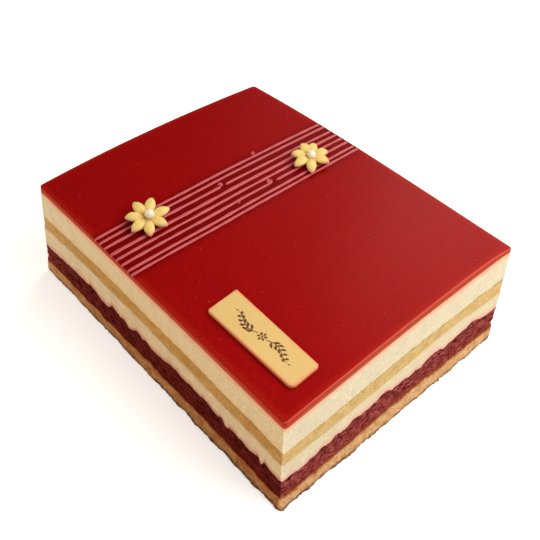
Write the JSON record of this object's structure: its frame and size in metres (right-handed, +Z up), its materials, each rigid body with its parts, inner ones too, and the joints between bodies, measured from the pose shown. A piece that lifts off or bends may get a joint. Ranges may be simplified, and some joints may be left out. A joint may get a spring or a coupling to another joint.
{
  "type": "fraisier cake",
  "caption": "Low rectangular layered cake of biscuit, red fruit and cream under a smooth red glaze with drizzled lines, sugar flowers and a plain sugar plaque.",
  "frame": {"origin": "middle of the cake's underside, at the height it rests on", "axes": "+X along the cake's front edge from left to right, +Y from its front to its back, +Z up"},
  "size_m": [0.1559, 0.1222, 0.0572],
  "materials": {
    "base_biscuit": "crumbly baked biscuit, matte",
    "fruit": "cut red fruit, moist",
    "cream": "airy cream, soft satin",
    "middle_biscuit": "sponge biscuit, matte",
    "glaze": "poured red glaze, glossy",
    "sugar_flower": "pressed sugar, matte",
    "sugar_pearl": "polished sugar, pearly",
    "sugar_plaque": "sugar paste, satin"
  },
  "bodies": {
    "root": {"base_biscuit": "base_biscuit", "fruit_layer": "fruit", "lower_cream": "cream", "middle_biscuit": "middle_biscuit", "upper_cream": "cream", "glaze": "glaze", "flower_front": "sugar_flower", "flower_front_pearl": "sugar_pearl", "flower_back": "sugar_flower", "flower_back_pearl": "sugar_pearl", "plaque": "sugar_plaque"}
  },
  "joints": []
}
